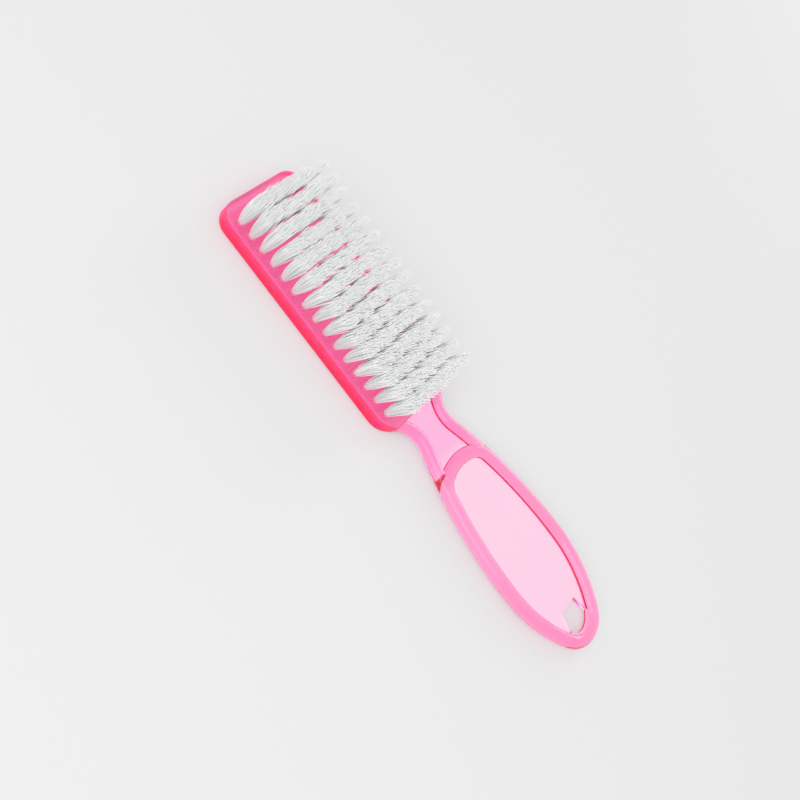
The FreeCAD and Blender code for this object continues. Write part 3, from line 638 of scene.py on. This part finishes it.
def plain_mesh(piece):
    """Turns what a piece's modifiers make into its own plain mesh, and removes the modifiers."""
    graph = bpy.context.evaluated_depsgraph_get()
    made = bpy.data.meshes.new_from_object(piece.evaluated_get(graph), depsgraph=graph)
    if not made.polygons:
        raise RuntimeError(f"{piece.name} came out empty")
    piece.modifiers.clear()
    piece.data = made
    made.name = piece.name


def new_material(name):
    """An empty node material with a Principled shader on its surface."""
    material = bpy.data.materials.new(name)
    material.use_nodes = True
    material.node_tree.nodes.clear()
    write = NodeWriter(material.node_tree)
    shader = write.add("ShaderNodeBsdfPrincipled")
    output = write.add("ShaderNodeOutputMaterial", {"Surface": shader.outputs[0]})
    return material, write, shader, output


def scuff_group():
    """Fine wear of a smooth surface: patches of handling and thin scratches. It is built once."""
    name = "Fine Scuffs"
    if name in bpy.data.node_groups:
        return bpy.data.node_groups[name]
    tree = bpy.data.node_groups.new(name, "ShaderNodeTree")
    add_inputs(tree, [
        ("Position", "NodeSocketVector"),
        ("Patch Scale", "NodeSocketFloat"),
        ("Scratch Scale", "NodeSocketFloat"),
        ("Clean Roughness", "NodeSocketFloat"),
        ("Worn Roughness", "NodeSocketFloat"),
    ])
    for output in ("Roughness", "Height"):
        tree.interface.new_socket(output, in_out="OUTPUT", socket_type="NodeSocketFloat")
    write = NodeWriter(tree)
    given = write.add("NodeGroupInput").outputs
    patches = write.noise(given["Position"], given["Patch Scale"], PATCH_DETAIL)
    drawn_out = write.add("ShaderNodeMapping", {"Vector": given["Position"], "Scale": SCRATCH_STRETCH})
    scratches = write.noise(drawn_out.outputs[0], given["Scratch Scale"], SCRATCH_DETAIL)
    fine = write.ramp(scratches, *SCRATCH_RANGE)
    soft = write.ramp(patches, *PATCH_RANGE, high=PATCH_WEAR)
    worn = write.math("MAXIMUM", soft, write.math("MULTIPLY", fine, SCRATCH_WEAR))
    roughness = write.ramp(worn, 0.0, 1.0, given["Clean Roughness"], given["Worn Roughness"])
    height = write.math("MULTIPLY_ADD", fine, -SCRATCH_DEPTH, patches)
    write.add("NodeGroupOutput", {"Roughness": roughness, "Height": height})
    return tree


def add_scuffs(write, scales, roughness, wear):
    """Places the scuffs in a material, read at the piece's own coordinates. Wear adds to the roughness."""
    position = write.add("ShaderNodeTexCoord").outputs["Object"]
    values = {
        "Position": position,
        **scales,
        "Clean Roughness": roughness,
        "Worn Roughness": roughness + wear,
    }
    scuffs = write.add("ShaderNodeGroup", values, node_tree=scuff_group())
    return position, scuffs.outputs


def turned_in(write, run, radius):
    """How far a rounded wall has turned inwards after a run along the head."""
    turned = write.math("MINIMUM", write.math("MAXIMUM", run, 0.0), radius)
    left = write.math("SUBTRACT", radius ** 2, write.math("MULTIPLY", turned, turned))
    return write.math("SUBTRACT", radius, write.math("SQRT", write.math("MAXIMUM", left, 0.0)))


def body_masks(write, position, finish):
    """Masks by name for the parts of the body's surface that differ: the head with its painted shade, the neck,
    the walls with their painted red and painted glow, and the edges with their painted highlight.
    """
    along, across, height = write.parts(position)

    def before(place, fade):
        return write.ramp(along, place, place + fade, 1.0, 0.0)

    def beyond(distance, place):
        return write.ramp(distance, place, place + finish.wall_fade)

    # Distance from the middle plane, as if the walls ran straight on past the shoulders and the end's corners.
    past_shoulder = write.math("SUBTRACT", along, LAST_RANK_PLACE + finish.shoulder_place)
    past_corner = write.math("SUBTRACT", BODY_BOX[0].x + finish.corner_radius, along)
    from_middle = write.math("ABSOLUTE", across)
    for run, radius in ((past_shoulder, finish.shoulder_radius), (past_corner, finish.corner_radius)):
        from_middle = write.math("ADD", from_middle, turned_in(write, run, radius))

    head = before(LAST_RANK_PLACE + finish.head_reach, finish.head_fade)
    neck = before(LAST_RANK_PLACE + finish.neck_reach, finish.neck_fade)
    walled = before(LAST_RANK_PLACE + finish.wall_reach, finish.wall_run)
    # Painted highlight: a paler line along the head's top edges and a paler band at its end.
    end = before(BODY_BOX[0].x + finish.end_width, finish.end_fade)
    edge = beyond(from_middle, finish.wall_place - finish.edge_width)
    side_wall = write.math("MULTIPLY", walled, beyond(from_middle, finish.wall_place))
    end_wall = write.math("MULTIPLY", head, end)
    wall_top = HEAD_FACE - finish.wall_edge
    below_face = write.ramp(height, wall_top - finish.wall_fade, wall_top, 1.0, 0.0)
    between = write.math("MULTIPLY", beyond(height, finish.wall_edge), below_face)
    wall = write.math("MULTIPLY", write.math("MAXIMUM", side_wall, end_wall), between)
    return {
        "head": head,
        "neck": write.math("SUBTRACT", neck, head),
        "edge highlight": write.math("MULTIPLY", head, write.math("MAXIMUM", edge, end)),
        "side wall": side_wall,
        "wall": wall,
        # Where the painted glow goes, and where it turns paler.
        "lit wall": write.math("MAXIMUM", side_wall, wall),
        "rim": write.math("MAXIMUM", write.ramp(height, finish.rim_low, wall_top), end),
    }


def tinted_plastic(finish):
    """Clear pink plastic: the tint gathers with depth, so thin places are pale and thick ones deep. On the head
    it carries painted shade, a painted deep red and a painted glow on the walls, and a painted highlight on the
    edges and end.
    """
    material, write, shader, output = new_material("tinted_plastic")
    position, scuffs = add_scuffs(write, PLASTIC_SCALES, finish.roughness, PLASTIC_WEAR)
    on = body_masks(write, position, finish)
    cloud = write.noise(position, CLOUD_SCALE, CLOUD_DETAIL)
    clouds = write.mix(cloud, opaque(finish.surface), opaque(finish.clear_surface_and_highlight))
    necked = write.mix(on["neck"], clouds, opaque(finish.neck_tint), "MULTIPLY")
    # Painted shade: the head's surface is multiplied by its deeper tint.
    shaded_head = write.mix(on["head"], necked, opaque(finish.head_shade_tint), "MULTIPLY")
    # Painted highlight: the head's edges and end turn pale.
    highlighted = write.mix(on["edge highlight"], shaded_head, opaque(finish.clear_surface_and_highlight))
    grained = write.math("MAXIMUM", on["wall"], on["edge highlight"])
    frosted = write.math("MULTIPLY", grained, finish.wall_roughness)
    # Painted glow on the head's walls: red low down, paler by the face and at the end.
    glow = write.mix(on["rim"], opaque(finish.painted_wall_glow), opaque(finish.painted_rim_glow))
    bump = write.add("ShaderNodeBump", {**PLASTIC_BUMP, "Height": scuffs["Height"]})
    write.fill(shader, {
        # Painted deep red on the side walls, for light that has crossed the plate.
        "Base Color": write.mix(on["side wall"], highlighted, opaque(finish.painted_wall_red)),
        "Roughness": write.math("MAXIMUM", frosted, scuffs["Roughness"]),
        "Normal": bump.outputs[0],
        "Emission Color": write.mix(on["lit wall"], BLACK, glow),
        "Emission Strength": finish.painted_glow_strength,
        "IOR": finish.refraction,
        "Transmission Weight": finish.clearness,
    })
    depth = write.add("ShaderNodeVolumeAbsorption", {"Color": opaque(finish.tint), "Density": finish.density})
    write.fill(output, {"Volume": depth.outputs[0]})
    return material


def nylon(sizes):
    """White nylon filaments: each has its own shade, and soft streaks run along it."""
    material, write, shader, _ = new_material("white_nylon")
    position = write.add("ShaderNodeTexCoord").outputs["Object"]
    shade = write.add("ShaderNodeAttribute", attribute_name="shade").outputs["Fac"]
    along = write.add("ShaderNodeMapping", {"Vector": position, "Scale": STREAK_STRETCH})
    streaks = write.noise(along.outputs[0], STREAK_SCALE, STREAK_DETAIL)
    dullness = write.math("MULTIPLY", shade, streaks, clamp=True)
    write.fill(shader, {
        "Base Color": write.mix(dullness, opaque(sizes.colour), opaque(sizes.dull_colour)),
        "Roughness": write.ramp(streaks, 0.0, 1.0, *NYLON_ROUGHNESS),
        "IOR": NYLON_REFRACTION,
    })
    return material


def drawn_wire(finish):
    """Flat drawn steel wire with fine lines along it."""
    material, write, shader, _ = new_material("drawn_wire")
    _, scuffs = add_scuffs(write, WIRE_SCALES, finish.roughness, WIRE_WEAR)
    bump = write.add("ShaderNodeBump", {**WIRE_BUMP, "Height": scuffs["Height"]})
    write.fill(shader, {
        "Base Color": write.mix(scuffs["Height"], opaque(finish.colour), opaque(finish.dull_colour)),
        "Roughness": scuffs["Roughness"],
        "Normal": bump.outputs[0],
        "Metallic": 1.0,
    })
    return material


def dress_node(name, material):
    """Gives a solid of the model a better material."""
    slots = frame["nodes"][name].data.materials
    slots.clear()
    slots.append(material)


class NAILBRUSH_OT_body(Operator):
    """Gives the moulded body its tinted plastic"""

    bl_idname = "nailbrush.body"
    bl_label = "Dress Body"

    def execute(self, context):
        dress_node(BODY, tinted_plastic(context.scene.nail_brush_body))
        return {"FINISHED"}


class NAILBRUSH_OT_bristles(Operator):
    """Fills every rank of holes with tufts of nylon filaments"""

    bl_idname = "nailbrush.bristles"
    bl_label = "Set Bristles"

    def execute(self, context):
        sizes = context.scene.nail_brush_bristles
        tree, inputs = build_rank_tree()
        material = nylon(sizes)
        shared = {
            "Tufts": TUFTS_IN_RANK,
            "Filaments": sizes.filaments,
            "Tuft Pitch": TUFT_PITCH,
            "Hole Floor": HOLE_FLOOR + sizes.thickness / 2,
            "Anchor Foot": ANCHOR_FOOT - sizes.thickness / 2,
            "Anchor Top": ANCHOR_TOP,
            "Anchor Gap": ANCHOR_HALF + sizes.thickness / 2,
            "Mouth": HEAD_FACE - sizes.mouth_depth,
            "Tip": BRISTLE_TIP,
            "Filament Radius": sizes.thickness / 2,
            "Root Radius": sizes.root_radius,
            "Spread": sizes.spread,
            "Side Spread": sizes.side_spread,
            "Far Narrowing": sizes.far_narrowing,
            "Squareness": sizes.squareness,
            "Looseness": sizes.looseness,
            "Crown": sizes.crown,
            "Side Lean": sizes.side_lean,
            "Tuft Lean": sizes.tuft_lean,
            "Stray": sizes.stray,
            "Ragged": sizes.ragged,
            "Uneven": sizes.uneven,
            "Material": material,
        }
        last = len(TUFT_RANKS) - 1
        for number, node in enumerate(TUFT_RANKS):
            low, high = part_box(node)
            sway = sizes.rank_sway * math.sin(GOLDEN_ANGLE * number)
            own = {
                "Rank Place": (low.x + high.x) / 2,
                "Tail Lean": sizes.tail_lean * math.sin(math.pi / 2 * number / last) + sway,
                "Seed": SEEDS_PER_RANK * number,
            }
            piece = bpy.data.objects.new(f"bristles_{number + 1:02d}", bpy.data.meshes.new("empty"))
            context.scene.collection.objects.link(piece)
            rank = piece.modifiers.new("Tuft Rank", "NODES")
            rank.node_group = tree
            for name, value in {**shared, **own}.items():
                rank[inputs[name].identifier] = value
            plain_mesh(piece)
            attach(piece, "root")
            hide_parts(node)
        return {"FINISHED"}


class NAILBRUSH_OT_anchors(Operator):
    """Gives the anchors in the holes their drawn wire"""

    bl_idname = "nailbrush.anchors"
    bl_label = "Dress Anchors"

    def execute(self, context):
        material = drawn_wire(context.scene.nail_brush_anchors)
        for node in ANCHOR_RANKS:
            dress_node(node, material)
        return {"FINISHED"}


def add_lamp(scene, name, power, width, place):
    """A square soft lamp that faces the brush."""
    lamp = bpy.data.lights.new(name, "AREA")
    lamp.energy = power
    lamp.size = width
    holder = bpy.data.objects.new(name, lamp)
    scene.collection.objects.link(holder)
    holder.location = place
    holder.rotation_euler = Vector(place).to_track_quat("Z", "Y").to_euler()


def card_share(write, to_camera, to_pieces):
    """How far a surface of the stage shows as an even card: to the camera, and in and through the brush."""
    path = write.add("ShaderNodeLightPath").outputs
    in_pieces = write.math("MAXIMUM", path["Is Glossy Ray"], path["Is Transmission Ray"])
    seen = write.math("MULTIPLY", path["Is Camera Ray"], to_camera)
    return write.math("MAXIMUM", seen, write.math("MULTIPLY", in_pieces, to_pieces))


def add_floor(scene, settings):
    """A wide pale floor under the brush. It takes the shadow, and is even where the plastic shows it."""
    half = settings.floor_width / 2
    mesh = bpy.data.meshes.new("floor")
    corners = [(-half, -half, 0), (half, -half, 0), (half, half, 0), (-half, half, 0)]
    mesh.from_pydata(corners, [], [(0, 1, 2, 3)])
    mesh.transform(Matrix.Translation((0, 0, -settings.floor_drop)))
    floor = bpy.data.objects.new("floor", mesh)
    scene.collection.objects.link(floor)
    material, write, shader, output = new_material("floor")
    write.fill(shader, {
        "Base Color": opaque(settings.floor_colour),
        "Roughness": FLOOR_ROUGHNESS,
        "Specular IOR Level": FLOOR_SHINE,
    })
    card = write.add("ShaderNodeEmission", {"Color": WHITE, "Strength": 1.0})
    share = card_share(write, settings.card_seen, settings.card_shown)
    mixed = write.add("ShaderNodeMixShader", {0: share, 1: shader.outputs[0], 2: card.outputs[0]})
    write.fill(output, {"Surface": mixed.outputs[0]})
    mesh.materials.append(material)


def add_sky(scene, settings):
    """Even white light from all round, which shows as white where it is seen."""
    world = bpy.data.worlds.new("studio")
    world.use_nodes = True
    world.node_tree.nodes.clear()
    write = NodeWriter(world.node_tree)
    share = card_share(write, 1.0, settings.card_shown)
    strength = write.ramp(share, 0.0, 1.0, settings.sky, 1.0)
    sky = write.add("ShaderNodeBackground", {"Color": WHITE, "Strength": strength})
    write.add("ShaderNodeOutputWorld", {"Surface": sky.outputs[0]})
    scene.world = world


def add_camera(scene, settings):
    """The camera, from its bearing, height angle, roll and distance about the point that it looks at."""
    lens = bpy.data.cameras.new("camera")
    lens.lens = settings.lens
    lens.sensor_width = SENSOR_WIDTH
    lens.shift_x, lens.shift_y = settings.shift
    lens.clip_start = NEAREST_SHOWN
    camera = bpy.data.objects.new("camera", lens)
    scene.collection.objects.link(camera)
    turn = Matrix.Rotation(settings.bearing, 4, "Z")
    tilt = Matrix.Rotation(math.pi / 2 - settings.elevation, 4, "X")
    roll = Matrix.Rotation(settings.roll, 4, "Z")
    back = Matrix.Translation((0, 0, settings.distance))
    camera.matrix_world = Matrix.Translation(settings.aim) @ turn @ tilt @ roll @ back
    scene.camera = camera


class NAILBRUSH_OT_stage(Operator):
    """Sets the brush on a pale floor under soft light, before the camera"""

    bl_idname = "nailbrush.stage"
    bl_label = "Set Stage"

    def execute(self, context):
        scene = context.scene
        settings = scene.nail_brush_stage
        scene.view_settings.view_transform = "Standard"
        for kind, count in BOUNCES.items():
            setattr(scene.cycles, kind, count)
        add_camera(scene, settings)
        add_floor(scene, settings)
        add_sky(scene, settings)
        add_lamp(scene, "key", settings.key_power, settings.key_width, settings.key_place)
        add_lamp(scene, "back", settings.back_power, settings.back_width, settings.back_place)
        return {"FINISHED"}


class NAILBRUSH_PT_sidebar(Panel):
    """Lists the steps that dress the brush, and the values that each one uses"""

    bl_idname = "NAILBRUSH_PT_sidebar"
    bl_label = "Nail Brush"
    bl_space_type = "VIEW_3D"
    bl_region_type = "UI"
    bl_category = "Nail Brush"

    def draw(self, context):
        steps = [
            (NAILBRUSH_OT_stage, context.scene.nail_brush_stage),
            (NAILBRUSH_OT_body, context.scene.nail_brush_body),
            (NAILBRUSH_OT_bristles, context.scene.nail_brush_bristles),
            (NAILBRUSH_OT_anchors, context.scene.nail_brush_anchors),
        ]
        for step, settings in steps:
            box = self.layout.box()
            box.operator(step.bl_idname)
            for name in settings.__annotations__:
                box.prop(settings, name)


GROUPS = {
    "nail_brush_body": BodyFinish,
    "nail_brush_bristles": BristleSizes,
    "nail_brush_anchors": AnchorFinish,
    "nail_brush_stage": StageSettings,
}
CLASSES = [
    *GROUPS.values(),
    NAILBRUSH_OT_stage,
    NAILBRUSH_OT_body,
    NAILBRUSH_OT_bristles,
    NAILBRUSH_OT_anchors,
    NAILBRUSH_PT_sidebar,
]


def register():
    """Makes the classes known, and hangs their settings on the scene."""
    for item in CLASSES:
        bpy.utils.register_class(item)
    for name, group in GROUPS.items():
        setattr(bpy.types.Scene, name, PointerProperty(type=group))


def unregister():
    """Takes the settings and the classes away again."""
    for name in GROUPS:
        delattr(bpy.types.Scene, name)
    for item in reversed(CLASSES):
        bpy.utils.unregister_class(item)


def main():
    """Runs every step in order."""
    register()
    bpy.ops.nailbrush.stage()
    bpy.ops.nailbrush.body()
    bpy.ops.nailbrush.bristles()
    bpy.ops.nailbrush.anchors()


if __name__ == "__main__":
    main()
